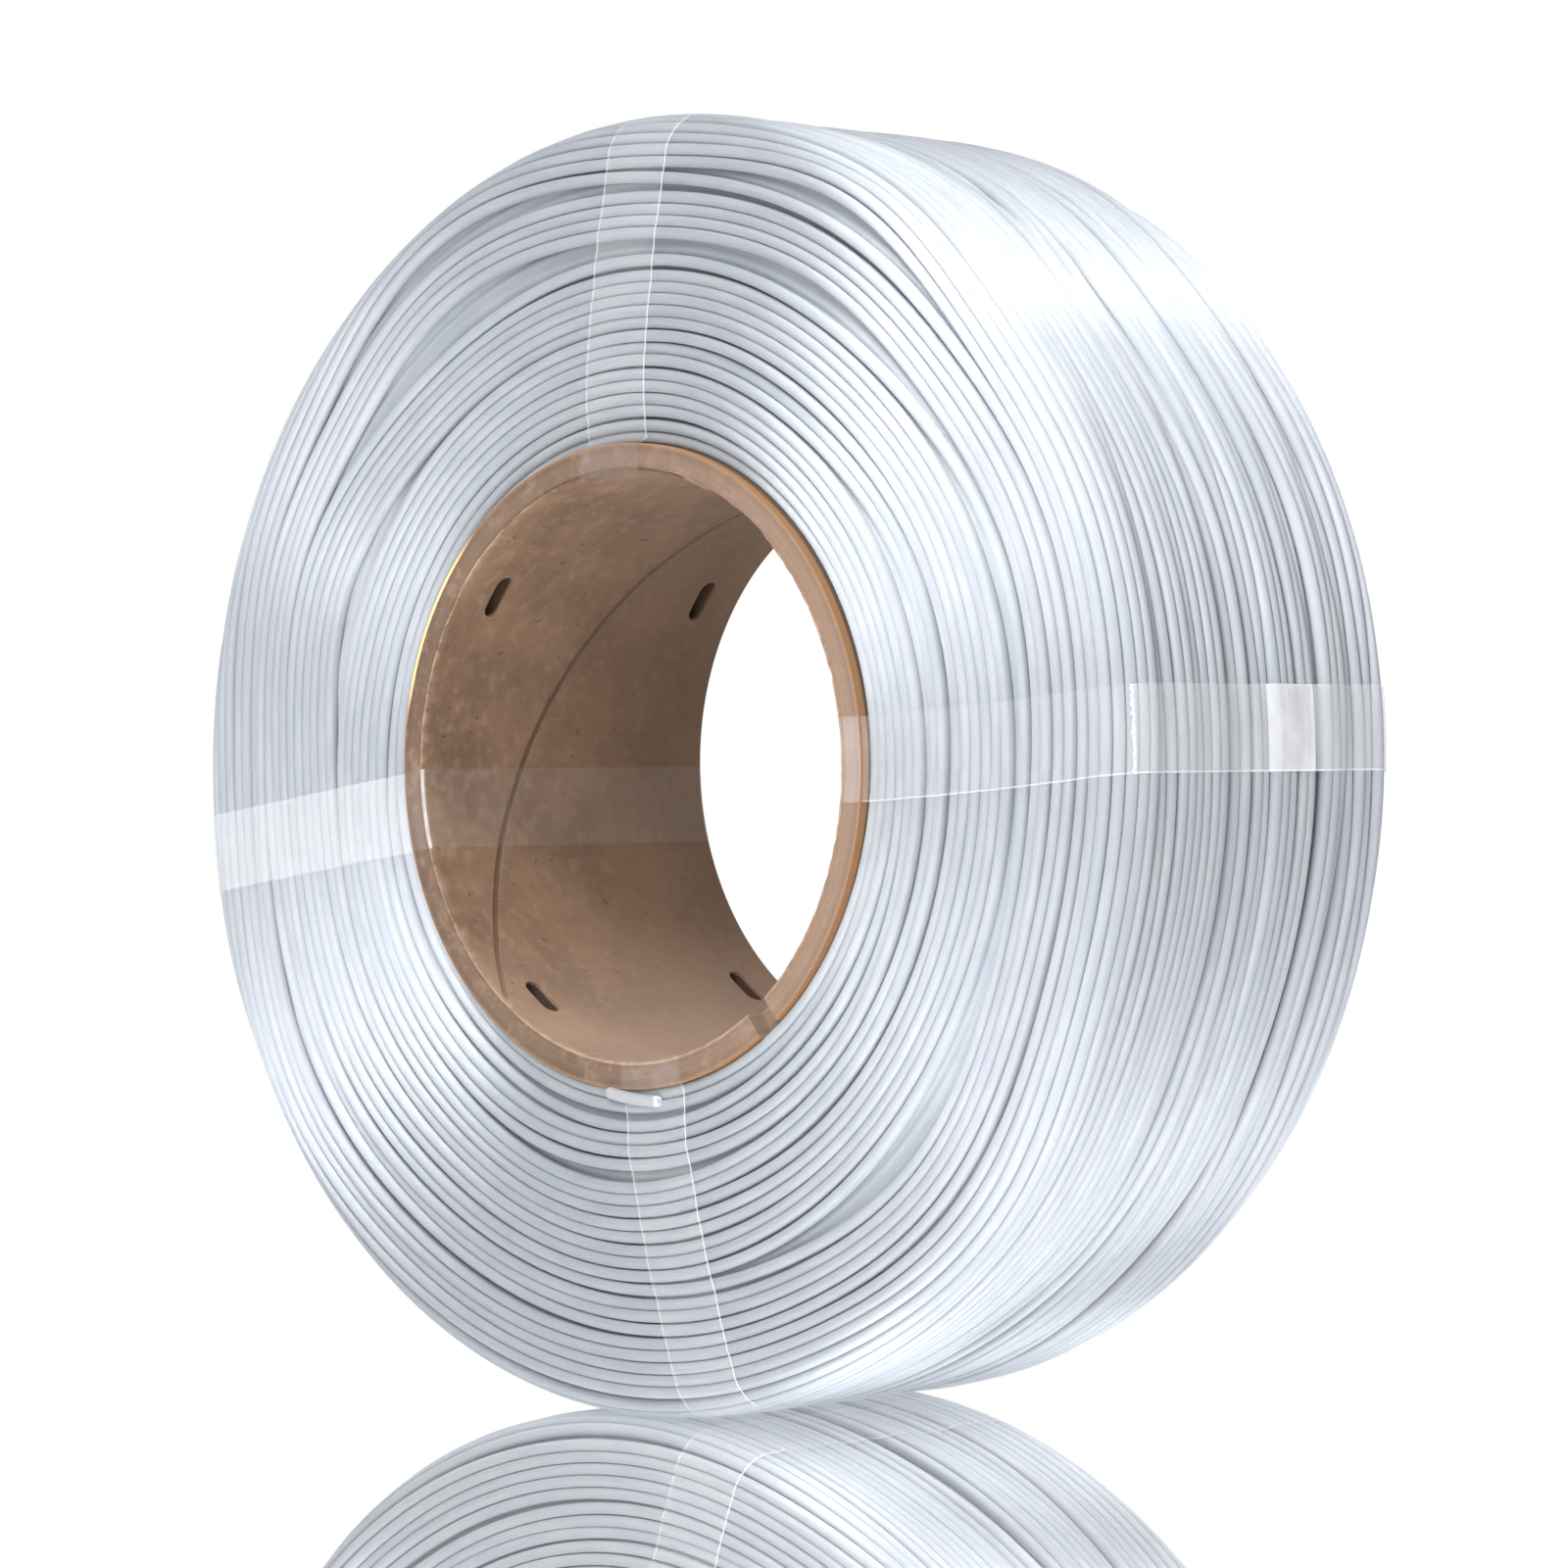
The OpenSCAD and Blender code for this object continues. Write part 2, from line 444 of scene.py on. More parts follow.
def noise(tree, vector, scale=1.0, detail=3.0, roughness=0.55):
    node = tree.nodes.new("ShaderNodeTexNoise")
    set_inputs(node, Scale=scale, Detail=detail, Roughness=roughness)
    tree.links.new(vector, node.inputs["Vector"])
    return node.outputs["Fac"]


def stretched(tree, vector, scale):
    node = tree.nodes.new("ShaderNodeMapping")
    set_inputs(node, Scale=scale)
    tree.links.new(vector, node.inputs["Vector"])
    return node.outputs["Vector"]


def add_bump(tree, shader, height, strength, distance):
    node = tree.nodes.new("ShaderNodeBump")
    set_inputs(node, Strength=strength, Distance=distance)
    tree.links.new(height, node.inputs["Height"])
    tree.links.new(node.outputs["Normal"], shader.inputs["Normal"])


def stored(tree, name):
    """The float that the mesh stores per point under a name."""
    return add_node(tree, "ShaderNodeAttribute", attribute_name=name).outputs["Fac"]


def lengthwise_uv(tree):
    return add_node(tree, "ShaderNodeUVMap", uv_map=UV_NAME).outputs["UV"]


def position(tree):
    return tree.nodes.new("ShaderNodeTexCoord").outputs["Object"]


def coordinate(tree, where, axis):
    parts = tree.nodes.new("ShaderNodeSeparateXYZ")
    tree.links.new(where, parts.inputs[0])
    return parts.outputs[axis]


# ---- The strand's material ----

STRAND_COOL = (0.47, 0.51, 0.55)
STRAND_LILAC = (0.48, 0.50, 0.565)
STRAND_PALE = (0.54, 0.57, 0.60)
STRAND_DEEP = (0.39, 0.43, 0.48)
# The start end of the strand is given a paler tone
STRAND_START_TONE = (0.62, 0.645, 0.67)
# Tints from 0 to 1 run from cool to lilac, and tints between these two turn to the paler tone of the start
# end
START_TONE_TINTS = (1.0, 2.0)
# Noise scales along and round the strand, of the fine drawn lines and of long patches of paler tone
DRAWN_LINES = (0.05, 9.0, 1.0)
PALE_PATCHES = (0.12, 0.35, 1.0)
PALE_RANGE = (0.3, 0.75)
# Where the lines start and end to deepen the tone, and how much of it they cover
DEEP_COVER = (0.35, 0.75, 0.3)
# Drawn lines spread a gleam across the strand far more than along it
STRAND_ROUGHNESS = 0.5
LINE_ROUGHNESS = 0.06


def silk_filament():
    """Silver silk PLA: a bluish grey with a soft metallic sheen and fine drawn lines along the strand."""
    material, tree, shader = new_material("silk_silver_filament")
    uv = lengthwise_uv(tree)
    tint = stored(tree, "Tint")
    lines = noise(tree, stretched(tree, uv, DRAWN_LINES), detail=2.0)
    patches = noise(tree, stretched(tree, uv, PALE_PATCHES), detail=2.0)
    layers = (
        (tint, STRAND_LILAC),
        (spread(tree, patches, *PALE_RANGE), STRAND_PALE),
        (cover(tree, lines, *DEEP_COVER), STRAND_DEEP),
        (spread(tree, tint, *START_TONE_TINTS), STRAND_START_TONE),
    )
    tree.links.new(layered(tree, STRAND_COOL, layers), shader.inputs["Base Color"])
    rough = maths(tree, "MULTIPLY_ADD", lines, LINE_ROUGHNESS, STRAND_ROUGHNESS)
    tree.links.new(rough, shader.inputs["Roughness"])
    set_inputs(shader, Metallic=0.6, Specular_IOR_Level=0.5, Anisotropic=1.0, Anisotropic_Rotation=0.25)
    along = add_node(tree, "ShaderNodeTangent", direction_type="UV_MAP", uv_map=UV_NAME)
    tree.links.new(along.outputs["Tangent"], shader.inputs["Tangent"])
    add_bump(tree, shader, lines, strength=0.1, distance=0.02 * MM)
    return material


# ---- Paper materials ----

# Noise scales of the two crossing sets of fibres, and of the flecks
FIRST_FIBRES = (500, 2400, 500)
SECOND_FIBRES = (1800, 450, 1800)
FLECKS = (900, 500, 900)
CLOUD_RANGE = (0.3, 0.7)
# Where the noise starts and ends to bring in a lighter or darker tone, and how much of it shows
MOTTLE_COVER = (0.45, 0.75, 0.55)
FIBRE_COVER = (0.62, 0.8, 0.35)
FLECK_COVER = (0.68, 0.78, 0.7)
# Heights in the bump, next to a mottle of 1
FIBRE_HEIGHT = 0.6
SEAM_DEPTH = 3.0

# Dark, middle and light tone of each paper, and the tone of its flecks
BOARD_TONES = ((0.115, 0.073, 0.05), (0.145, 0.094, 0.065), (0.26, 0.175, 0.127), (0.13, 0.08, 0.052))
LINER_TONES = ((0.13, 0.08, 0.05), (0.23, 0.141, 0.088), (0.30, 0.194, 0.126), (0.075, 0.045, 0.032))
# Very dark tones of the paper behind the slots, painted shade
SLOT_SHADE_TONES = ((0.05, 0.031, 0.021), (0.075, 0.048, 0.033), (0.11, 0.072, 0.05), (0.05, 0.031, 0.021))
WRAP_TONE = (0.27, 0.14, 0.065)
# Golden highlight painted at the upper left of the core's outer skin
GOLD_HIGHLIGHT = (0.72, 0.55, 0.24)
# Pale board: real wear on the liner's front edge, and painted light on the bottom of the bore
WORN_AND_LIT_TONE = (0.36, 0.245, 0.18)
# Painted shade inside the slots
SLOT_SHADE_TONE = (0.06, 0.036, 0.024)
SEAM_TONE = (0.085, 0.05, 0.034)
# Brightness of the plies between the liner and the wrap, from the inside out
PLY_SHADES = (0.92, 1.0, 0.95, 1.0, 0.92, 0.84)

# How far the wear reaches from the front edge of the liner, where it starts and how softly it ends
WORN_REACH = 6.0 * MM
WORN_START = 0.38
WORN_FADE = 1.5 * MM
# Thickness of the golden skin, and the box at the upper left where its band is widened and painted with a
# golden highlight, as X and as Z
SKIN_T = 0.25 * MM
SKIN_ACROSS = (-30 * MM, -38 * MM)
SKIN_HEIGHT = (5 * MM, 14 * MM)
# The liner is a paper strip wound as a helix: its edges meet in one thin line
SEAM_PITCH = 135.6 * MM
SEAM_ANGLE = 143.3
SEAM_AT = 4.9 * MM
SEAM_W = 0.28 * MM
SEAM_FADE = 2.6
SEAM_MOST = 0.8
SEAM_WAVER = 0.4 * MM


def paper_fibres(tree, where):
    """Two crossing sets of short fibres and fine grain."""
    first = noise(tree, stretched(tree, where, FIRST_FIBRES), roughness=0.6)
    second = noise(tree, stretched(tree, where, SECOND_FIBRES), roughness=0.6)
    return maths(tree, "MAXIMUM", first, second)


def paper(name, dark, mid, light, fleck, roughness=0.8, coat=None, seam=False):
    """Recycled paperboard: mottled tone, fibres, flecks and a dull surface.

    coat is the tone of a skin on the outside of the core, with a painted golden highlight at its upper left.
    seam marks
    the liner: it has a worn, pale front edge, painted shade that darkens its rear and painted light that
    makes its bottom paler. Every other paper has painted light that makes it paler towards +X, and painted
    shade on its slot walls.
    """
    material, tree, shader = new_material(name)
    where = position(tree)
    clouds = noise(tree, where, scale=55.0, detail=4.0, roughness=0.6)
    mottle = noise(tree, where, scale=420.0, detail=4.0, roughness=0.6)
    fibres = paper_fibres(tree, where)
    flecks = noise(tree, stretched(tree, where, FLECKS), detail=1.0)
    layers = [
        (spread(tree, clouds, *CLOUD_RANGE), mid),
        (cover(tree, mottle, *MOTTLE_COVER), light),
        (cover(tree, fibres, *FIBRE_COVER), light),
        (cover(tree, flecks, *FLECK_COVER), fleck),
    ]
    height = maths(tree, "MULTIPLY_ADD", fibres, FIBRE_HEIGHT, mottle)
    if seam:
        line = seam_line(tree, where)
        # Painted shade: the liner darkens towards the rear of the bore.
        painted_shade_rear = cover(tree, coordinate(tree, where, "Y"), -HALF_LEN, HALF_LEN, most=0.75)
        # Painted light: the liner turns paler towards the bottom of the bore.
        painted_light_bottom = cover(tree, coordinate(tree, where, "Z"), -BORE_R / 2, -BORE_R, most=0.45)
        layers += [(painted_shade_rear, dark), (line, SEAM_TONE)]
        layers += [(painted_light_bottom, WORN_AND_LIT_TONE), (worn_edge(tree, where), WORN_AND_LIT_TONE)]
        height = maths(tree, "SUBTRACT", height, maths(tree, "MULTIPLY", line, SEAM_DEPTH))
    else:
        # Painted light: these papers turn paler towards +X.
        painted_light_side = cover(tree, coordinate(tree, where, "X"), -CORE_R / 2, CORE_R, most=0.65)
        # Painted shade darkens the walls of the slots.
        layers += [(painted_light_side, light), (painted_slot_shade(tree, where), SLOT_SHADE_TONE)]
    if coat:
        # Painted highlight: the skin turns bright gold at the upper left.
        skin = blend_colours(tree, painted_skin_highlight(tree, where), coat, GOLD_HIGHLIGHT)
        layers.append((outer_skin(tree, where), skin))
    tree.links.new(layered(tree, dark, layers), shader.inputs["Base Color"])
    set_inputs(shader, Roughness=roughness, Specular_IOR_Level=0.3)
    add_bump(tree, shader, height, strength=0.5, distance=0.12 * MM)
    return material


def worn_edge(tree, where):
    """Share of the pale board where the front edge of the liner is rubbed and flaked."""
    flakes = noise(tree, where, scale=450.0, detail=4.0, roughness=0.65)
    reach = maths(tree, "MULTIPLY_ADD", flakes, WORN_REACH, -HALF_LEN - WORN_START * WORN_REACH)
    worn = maths(tree, "SUBTRACT", reach, coordinate(tree, where, "Y"))
    return cover(tree, worn, 0, WORN_FADE, most=0.7)


def painted_slot_shade(tree, where):
    """Share of painted shade: 1 on the walls of the slots, which lie further from the ends of the core than
    the notch reaches.
    """
    notch_end = HALF_LEN - NOTCH_DEPTH
    off = maths(tree, "ABSOLUTE", coordinate(tree, where, "Y"))
    return spread(tree, off, notch_end - MM, notch_end - 2 * MM)


def outer_skin(tree, where):
    """1 on the outer surface of the core, and on a wider band of its outer rim at the upper left, where the
    painted highlight lies.
    """
    x, z = coordinate(tree, where, "X"), coordinate(tree, where, "Z")
    square = maths(tree, "ADD", maths(tree, "MULTIPLY", x, x), maths(tree, "MULTIPLY", z, z))
    raised = maths(tree, "MULTIPLY_ADD", painted_skin_highlight(tree, where), 2 * SKIN_T, maths(tree, "SQRT", square))
    return spread(tree, raised, CORE_R - SKIN_T, CORE_R - SKIN_T / 2)


def painted_skin_highlight(tree, where):
    """Share of the painted golden highlight: 1 at the upper left of the core's outer skin."""
    x, z = coordinate(tree, where, "X"), coordinate(tree, where, "Z")
    return maths(tree, "MULTIPLY", spread(tree, x, *SKIN_ACROSS), spread(tree, z, *SKIN_HEIGHT))


def seam_line(tree, where):
    """Share of the dark tone on the helical butt joint of the liner strip, 0 away from it."""
    x, y, z = (coordinate(tree, where, axis) for axis in "XYZ")
    angle = maths(tree, "ARCTAN2", z, x)
    turns = maths(tree, "MULTIPLY", angle, SEAM_PITCH / (2 * math.pi))
    start = SEAM_AT + SEAM_PITCH * SEAM_ANGLE / 360
    shift = maths(tree, "SUBTRACT", maths(tree, "ADD", y, turns), start)
    waver = maths(tree, "MULTIPLY_ADD", noise(tree, where, scale=90.0), 2 * SEAM_WAVER, -SEAM_WAVER)
    off = maths(tree, "PINGPONG", maths(tree, "ADD", shift, waver), SEAM_PITCH / 2)
    return spread(tree, off, SEAM_W, SEAM_W * SEAM_FADE, SEAM_MOST, 0.0)


# ---- Tape and floor materials ----

TAPE_TONE = (0.93, 0.94, 0.96)
# Roughness of bare tape and what full haze adds to it
TAPE_ROUGHNESS = 0.12
HAZE_ROUGHNESS = 0.8
# The haze varies in clouds: noise scales, range of the noise, least strength and what the clouds add
HAZE_CLOUDS = (2.0, 2.0, 1.0)
HAZE_RANGE = (0.3, 0.8)
HAZE_LEAST = 0.85
HAZE_ADDED = 0.3
TAPE_MOST = 0.95

FLOOR_TONE = (0.22, 0.22, 0.225)
FLOOR_TONE_2 = (0.24, 0.24, 0.242)
WHITE = (1, 1, 1)
FLOOR_GLOW = 1.05
FLOOR_IOR = 2.0
# Below 1 the gloss is stronger than plain glass has
FLOOR_GLOSS = 0.1


def clear_tape():
    """Clear packing tape: mostly see-through, hazy where it lies on the turns, with painted highlights as
    white along its cut edges and, on one tape, where it bends into the bore.
    """
    material, tree, shader = new_material("clear_tape")
    # The stored haze also carries a painted highlight where a tape bends into the bore.
    haze = stored(tree, "HazeAndBendHighlight")
    clouds = noise(tree, stretched(tree, lengthwise_uv(tree), HAZE_CLOUDS))
    rough = maths(tree, "MULTIPLY_ADD", haze, HAZE_ROUGHNESS, TAPE_ROUGHNESS)
    tree.links.new(rough, shader.inputs["Roughness"])
    set_inputs(shader, Base_Color=(*TAPE_TONE, 1), Specular_IOR_Level=0.5)
    cloudy = maths(tree, "MULTIPLY_ADD", spread(tree, clouds, *HAZE_RANGE), HAZE_ADDED, HAZE_LEAST)
    # The Edge value adds white: a painted highlight on cut edges, and the white of a torn start.
    solid = maths(tree, "ADD", maths(tree, "MULTIPLY", cloudy, haze), stored(tree, "Edge"))
    tree.links.new(maths(tree, "MINIMUM", solid, TAPE_MOST), shader.inputs["Alpha"])
    return material


def floor_material():
    """A pale, softly glowing floor under a thin clear gloss, as on a light table."""
    material, tree, shader = new_material("pale_floor")
    grain = noise(tree, position(tree), scale=6.0, detail=2.0)
    tree.links.new(blend_colours(tree, grain, FLOOR_TONE, FLOOR_TONE_2), shader.inputs["Base Color"])
    set_inputs(shader, Roughness=1.0, Specular_IOR_Level=0.0)
    set_inputs(shader, Emission_Color=(*WHITE, 1), Emission_Strength=FLOOR_GLOW)
    gloss = tree.nodes.new("ShaderNodeBsdfGlossy")
    set_inputs(gloss, Color=(*WHITE, 1), Roughness=0.0)
    share = tree.nodes.new("ShaderNodeFresnel")
    set_inputs(share, IOR=FLOOR_IOR)
    mix = tree.nodes.new("ShaderNodeMixShader")
    tree.links.new(maths(tree, "POWER", share.outputs[0], FLOOR_GLOSS), mix.inputs[0])
    tree.links.new(shader.outputs[0], mix.inputs[1])
    tree.links.new(gloss.outputs[0], mix.inputs[2])
    tree.links.new(mix.outputs[0], tree.nodes["Material Output"].inputs["Surface"])
    return material


# ---- Filament pieces ----

# The start end stands proud of the core, moves outwards along its length and sinks back at its tip
START_STEPS = 60
START_DRIFT = 1.4 * MM
START_PROUD = 0.2 * MM
START_SINK = 0.3 * MM
START_TINT = np.array([3.0])
# The layer under the turns that show: its drawing steps, its depth, and the depth and tone of its waves
BURIED_STEPS = 192
BURIED_POINTS_PER_TURN = 5
BURIED_DEPTH = 0.8 * MM
BURIED_WAVE = 0.5 * MM
BURIED_TINT = 0.5
# It sinks under the valleys too, over a wider band, and stops this far from the core
BURIED_WIDENING = 1.3
BURIED_GAP = 0.02 * MM


def build_turns(winding, material):
    """The turns that show, in three pieces, and the free end on the rim."""
    radius, along = winding.centres()
    facing = winding.facing()
    middle = winding.way.mean(1)
    rim_start = winding.face_run + winding.bend_run
    rim_end = rim_start + winding.rim_run
    on_front = middle < rim_start
    on_rear = middle >= rim_end
    on_rim = ~on_front & ~on_rear
    free = free_turn(winding, middle, on_rim)
    on_rim[free] = False
    parts = (
        ("front_face_turns", on_front, "filament_inner_layers"),
        ("rear_face_turns", on_rear, "filament_inner_layers"),
        ("rim_turns", on_rim, "filament_outer_layer"),
    )
    for name, rows, node in parts:
        obj = tubes(name, radius[rows], along[rows], facing[rows], winding.angles, True, winding.tints[rows])
        finish_piece(obj, material, "filament", node)
    build_free_end(winding, free, radius, along, material)


def free_turn(winding, middle, on_rim):
    """The rim turn whose end is the outer end of the strand."""
    gap = np.where(on_rim, np.abs(middle - (winding.rim_middle + FREE_END_Y)), 1.0)
    return int(np.argmin(gap))


def build_free_end(winding, free, radius, along, material):
    """The last turn on the rim, in two pieces: most of the turn, and the strand's outer end."""
    tint = winding.tints[free]
    spans = (
        ("outer_end_turn", FREE_GAP_END, FREE_ANGLES[0] + 360, ()),
        ("strand_outer_end", FREE_ANGLES[0], FREE_ANGLES[1], ("filament_outer_end",)),
    )
    for name, start, end, nodes in spans:
        steps = int((end - start) * TURN_STEPS / 360)
        angles = np.linspace(start, end, steps)
        turn_r = np.interp(angles, winding.angles, radius[free], period=360)[None, :]
        turn_y = np.interp(angles, winding.angles, along[free], period=360)[None, :]
        taper = rounded_ends(steps, math.radians(end - start) * COIL_R)
        obj = tubes(name, turn_r, turn_y, 0 * turn_r, angles, False, np.array([tint]), taper)
        finish_piece(obj, material, "filament", *nodes)


def build_start_end(material):
    """The start of the strand, a short bent end beside the front of the core."""
    share = np.linspace(0, 1, START_STEPS)
    span = START_ANGLES[1] - START_ANGLES[0]
    angles = START_ANGLES[0] + span * share
    radius = START_R + (share - 0.5) * START_DRIFT
    height = radius * np.sin(np.radians(angles))
    along = -HALF_LEN + STRAND_R - START_PROUD + LEAN * height + START_SINK * share**2
    taper = rounded_ends(START_STEPS, math.radians(span) * START_R)
    centres_r, centres_y = radius[None, :], along[None, :]
    obj = tubes("strand_start_end", centres_r, centres_y, 0 * centres_r, angles, False, START_TINT, taper)
    finish_piece(obj, material, "filament", "filament_start_end")


def build_buried_turns(winding, material):
    """The layer under the turns that show, seen only in the gaps between them."""
    angles = full_turn(BURIED_STEPS)
    count = int(winding.length / TURN_PITCH * BURIED_POINTS_PER_TURN)
    way = np.linspace(0, winding.length, count)
    wave = np.abs(np.cos(math.pi * way / TURN_PITCH))
    depth = BURIED_DEPTH + (1 - wave) * BURIED_WAVE
    way_grid, angle_grid = np.meshgrid(way, angles, indexing="ij")
    sink = valley_depth(way_grid, angle_grid, winding.rim_middle, BURIED_WIDENING)
    radius, along = winding.outline(way_grid, depth[:, None] + sink)
    along = winding.lean(radius, along, angle_grid)
    inner_r = np.full((1, BURIED_STEPS), CORE_R + BURIED_GAP)
    radius = np.concatenate([inner_r, radius, inner_r])
    along = np.concatenate([along[:1], along, along[-1:]])
    points = around_axis(radius, along, angles[None, :])
    faces, places = grid_faces(count + 2, BURIED_STEPS, True, True)
    step_length = 2 * math.pi * COIL_R / BURIED_STEPS
    uvs = places[:, :, ::-1] * [step_length / TURN_PITCH, 1 / BURIED_POINTS_PER_TURN]
    values = {"Tint": np.full(points.shape[0] * points.shape[1], BURIED_TINT)}
    obj = mesh_object("buried_turns", points.reshape(-1, 3), faces[:, ::-1], uvs[:, ::-1], values)
    finish_piece(obj, material, "filament", "filament_inner_layers")


# ---- Core pieces ----

CUTTER_DEPTH = 6.0 * MM
SLOT_ARC_STEPS = 10
# Drawing steps of the liner: round it, along its front stretch and along the rest
LINER_STEPS = 720
LINER_FRONT = 2.0 * MM
LINER_FRONT_ROWS = 12
LINER_REST_ROWS = 29
# The liner's front edge is torn back at the top: angle of the deepest tear and angular reach
TEAR_ANGLE = 85
TEAR_REACH = 42
# Number of waves round the torn edge and how fast the shorter ones fade, for broad and for fine unevenness
BROAD_TEAR = (30, 0.3)
FINE_TEAR = (110, 0.1)
# How far back the tear goes and how much of the ply it rubs off: even part, broad part and fine part
TORN_BACK = (0.5 * MM, 0.45 * MM, 0.12 * MM)
TORN_WEAR = (0.35, 0.3, 0.15)
TORN_BACK_LEAST = 0.02 * MM
# The same away from the tear: even part and fine part
EDGE_BACK = (0.03 * MM, 0.03 * MM)
EDGE_WEAR = (0.2, 0.08)
WEAR_LIMITS = (0.05, 0.94)
WEAR_LENGTH = 1.2 * MM
SHARP_ANGLE = 35
# A dark brown paper sleeve round the core, its dark tone painted shade, which shows through its slots: rings
# of points, half length, gap to the core
SLEEVE_STEPS = 192
SLEEVE_ROWS = 9
SLEEVE_END = 28.6 * MM
SLEEVE_GAP = 0.03 * MM


def slot_outline():
    """Outline of a slot, given round and along the core."""
    half_run = (SLOT_L - SLOT_W) / 2
    ring = []
    for side in (1, -1):
        for k in range(SLOT_ARC_STEPS + 1):
            turn = math.pi * (k / SLOT_ARC_STEPS - 0.5)
            x = side * (half_run + SLOT_W / 2 * math.cos(turn))
            ring.append((x, side * SLOT_W / 2 * math.sin(turn)))
    return ring


def notch_outline():
    """Outline of the key notch, given round and along the core from its front end."""
    corners = ((-1, -1), (1, -1), (1, 1), (-1, 1))
    return [(u * NOTCH_W / 2, v * NOTCH_DEPTH) for u, v in corners]


def slot_cutter():
    """One mesh with the eight slots and the key notch, for cutting the liner."""
    bm = bmesh.new()
    for angle in SLOT_ANGLES:
        for row in (-SLOT_ROW, SLOT_ROW):
            add_prism(bm, slot_outline(), angle, row)
    add_prism(bm, notch_outline(), NOTCH_ANGLE, -HALF_LEN)
    fix_normals(bm)
    mesh = bpy.data.meshes.new("slot_cutter")
    bm.to_mesh(mesh)
    bm.free()
    return mesh


def add_prism(bm, ring, angle, along):
    """A prism through the liner that points outwards from the axis, from its outline."""
    turn = math.radians(angle)
    out = Vector((math.cos(turn), 0, math.sin(turn)))
    across = Vector((-math.sin(turn), 0, math.cos(turn)))
    axis = Vector((0, 1, 0))
    start = BORE_R - CUTTER_DEPTH / 2
    loops = []
    for reach in (start, start + CUTTER_DEPTH):
        centre = out * reach + axis * along
        loops.append([bm.verts.new(centre + across * u + axis * v) for u, v in ring])
    bm.faces.new(loops[0])
    bm.faces.new(loops[1][::-1])
    for i in range(len(ring)):
        j = (i + 1) % len(ring)
        bm.faces.new((loops[0][i], loops[1][i], loops[1][j], loops[0][j]))


def uneven(parts, broad, fine):
    """A sum of an even part, a broad part and a fine part."""
    return parts[0] + parts[1] * broad + parts[2] * fine


def liner_edge(angles):
    """How far back the liner's front edge lies, and the share of the ply that is rubbed off it."""
    rng = np.random.default_rng(5)
    torn = bump_at(angle_gap(angles, TEAR_ANGLE), 0, TEAR_REACH)
    broad = ring_noise(rng, angles, 1, *BROAD_TEAR)[0]
    fine = ring_noise(rng, angles, 1, *FINE_TEAR)[0]
    tear = np.clip(uneven(TORN_BACK, broad, fine), TORN_BACK_LEAST, None)
    back = EDGE_BACK[0] + torn * tear + EDGE_BACK[1] * np.abs(fine)
    wear = EDGE_WEAR[0] + EDGE_WEAR[1] * fine + torn * uneven(TORN_WEAR, broad, fine)
    return back, np.clip(wear, *WEAR_LIMITS)


def build_liner(material):
    """The innermost ply: its front edge is torn back at the top, where the plies behind show."""
    angles = full_turn(LINER_STEPS)
    back, wear = liner_edge(angles)
    front = np.linspace(0, LINER_FRONT, LINER_FRONT_ROWS)
    rest = np.linspace(LINER_FRONT, 2 * HALF_LEN, LINER_REST_ROWS + 1)[1:]
    share = np.concatenate([front, rest])[:, None] / (2 * HALF_LEN)
    along = (back - HALF_LEN)[None, :] * (1 - share) + HALF_LEN * share
    rubbed = PLY_T * wear[None, :] * (1 - smoothstep(along + HALF_LEN, 0, WEAR_LENGTH))
    inner = around_axis(BORE_R + rubbed, along, angles[None, :])
    outer = around_axis(np.full_like(along, BORE_R + PLY_T), along, angles[None, :])
    points = np.concatenate([inner, outer[::-1]])
    faces, _ = grid_faces(len(points), LINER_STEPS, True, True)
    obj = mesh_object("core_liner_paper", points.reshape(-1, 3), faces)
    edit_mesh(obj, fix_normals)
    cut_slots(obj)
    sharpen(obj, SHARP_ANGLE)
    finish_piece(obj, material, "liner_paper", "core_liner")


def cut_slots(obj):
    cutter = bpy.data.objects.new("slot_cutter", slot_cutter())
    bpy.context.scene.collection.objects.link(cutter)
    modifier = obj.modifiers.new("slots", "BOOLEAN")
    modifier.object = cutter
    modifier.solver = "EXACT"
    graph = bpy.context.evaluated_depsgraph_get()
    mesh = bpy.data.meshes.new_from_object(obj.evaluated_get(graph))
    obj.modifiers.clear()
    obj.data = mesh
    bpy.data.objects.remove(cutter)


def sharpen(obj, degrees):
    """Shades a mesh smooth except at edges sharper than an angle."""
    obj.data.polygons.foreach_set("use_smooth", np.ones(len(obj.data.polygons), bool))
    obj.data.set_sharp_from_angle(angle=math.radians(degrees))


def dress_core(frame):
    """Materials of the plies behind the liner, and of the golden outer wrap."""
    nodes = frame["nodes"]
    for index, shade in enumerate(PLY_SHADES, start=2):
        tones = [tuple(shade * part for part in tone) for tone in BOARD_TONES]
        dress(nodes[f"core_ply_{index}"], paper(f"board_ply_{index}", *tones))
    dress(nodes["core_wrap"], paper("golden_wrap", *BOARD_TONES, roughness=0.55, coat=WRAP_TONE))


def build_slot_shade_floors():
    """Dark brown paper behind the slots and the notch, between the core and the winding: its dark tone is
    painted shade.
    """
    angles = full_turn(SLEEVE_STEPS)
    along = np.repeat(np.linspace(-SLEEVE_END, SLEEVE_END, SLEEVE_ROWS)[:, None], SLEEVE_STEPS, 1)
    points = around_axis(np.full_like(along, CORE_R + SLEEVE_GAP), along, angles[None, :])
    faces, _ = grid_faces(SLEEVE_ROWS, SLEEVE_STEPS, False, True)
    obj = mesh_object("slot_shade_floors", points.reshape(-1, 3), faces)
    # The dark paper behind the slots paints the shade inside them.
    finish_piece(obj, paper("slot_shade_paper", *SLOT_SHADE_TONES), "wrap_paper")


# ---- Tape pieces ----

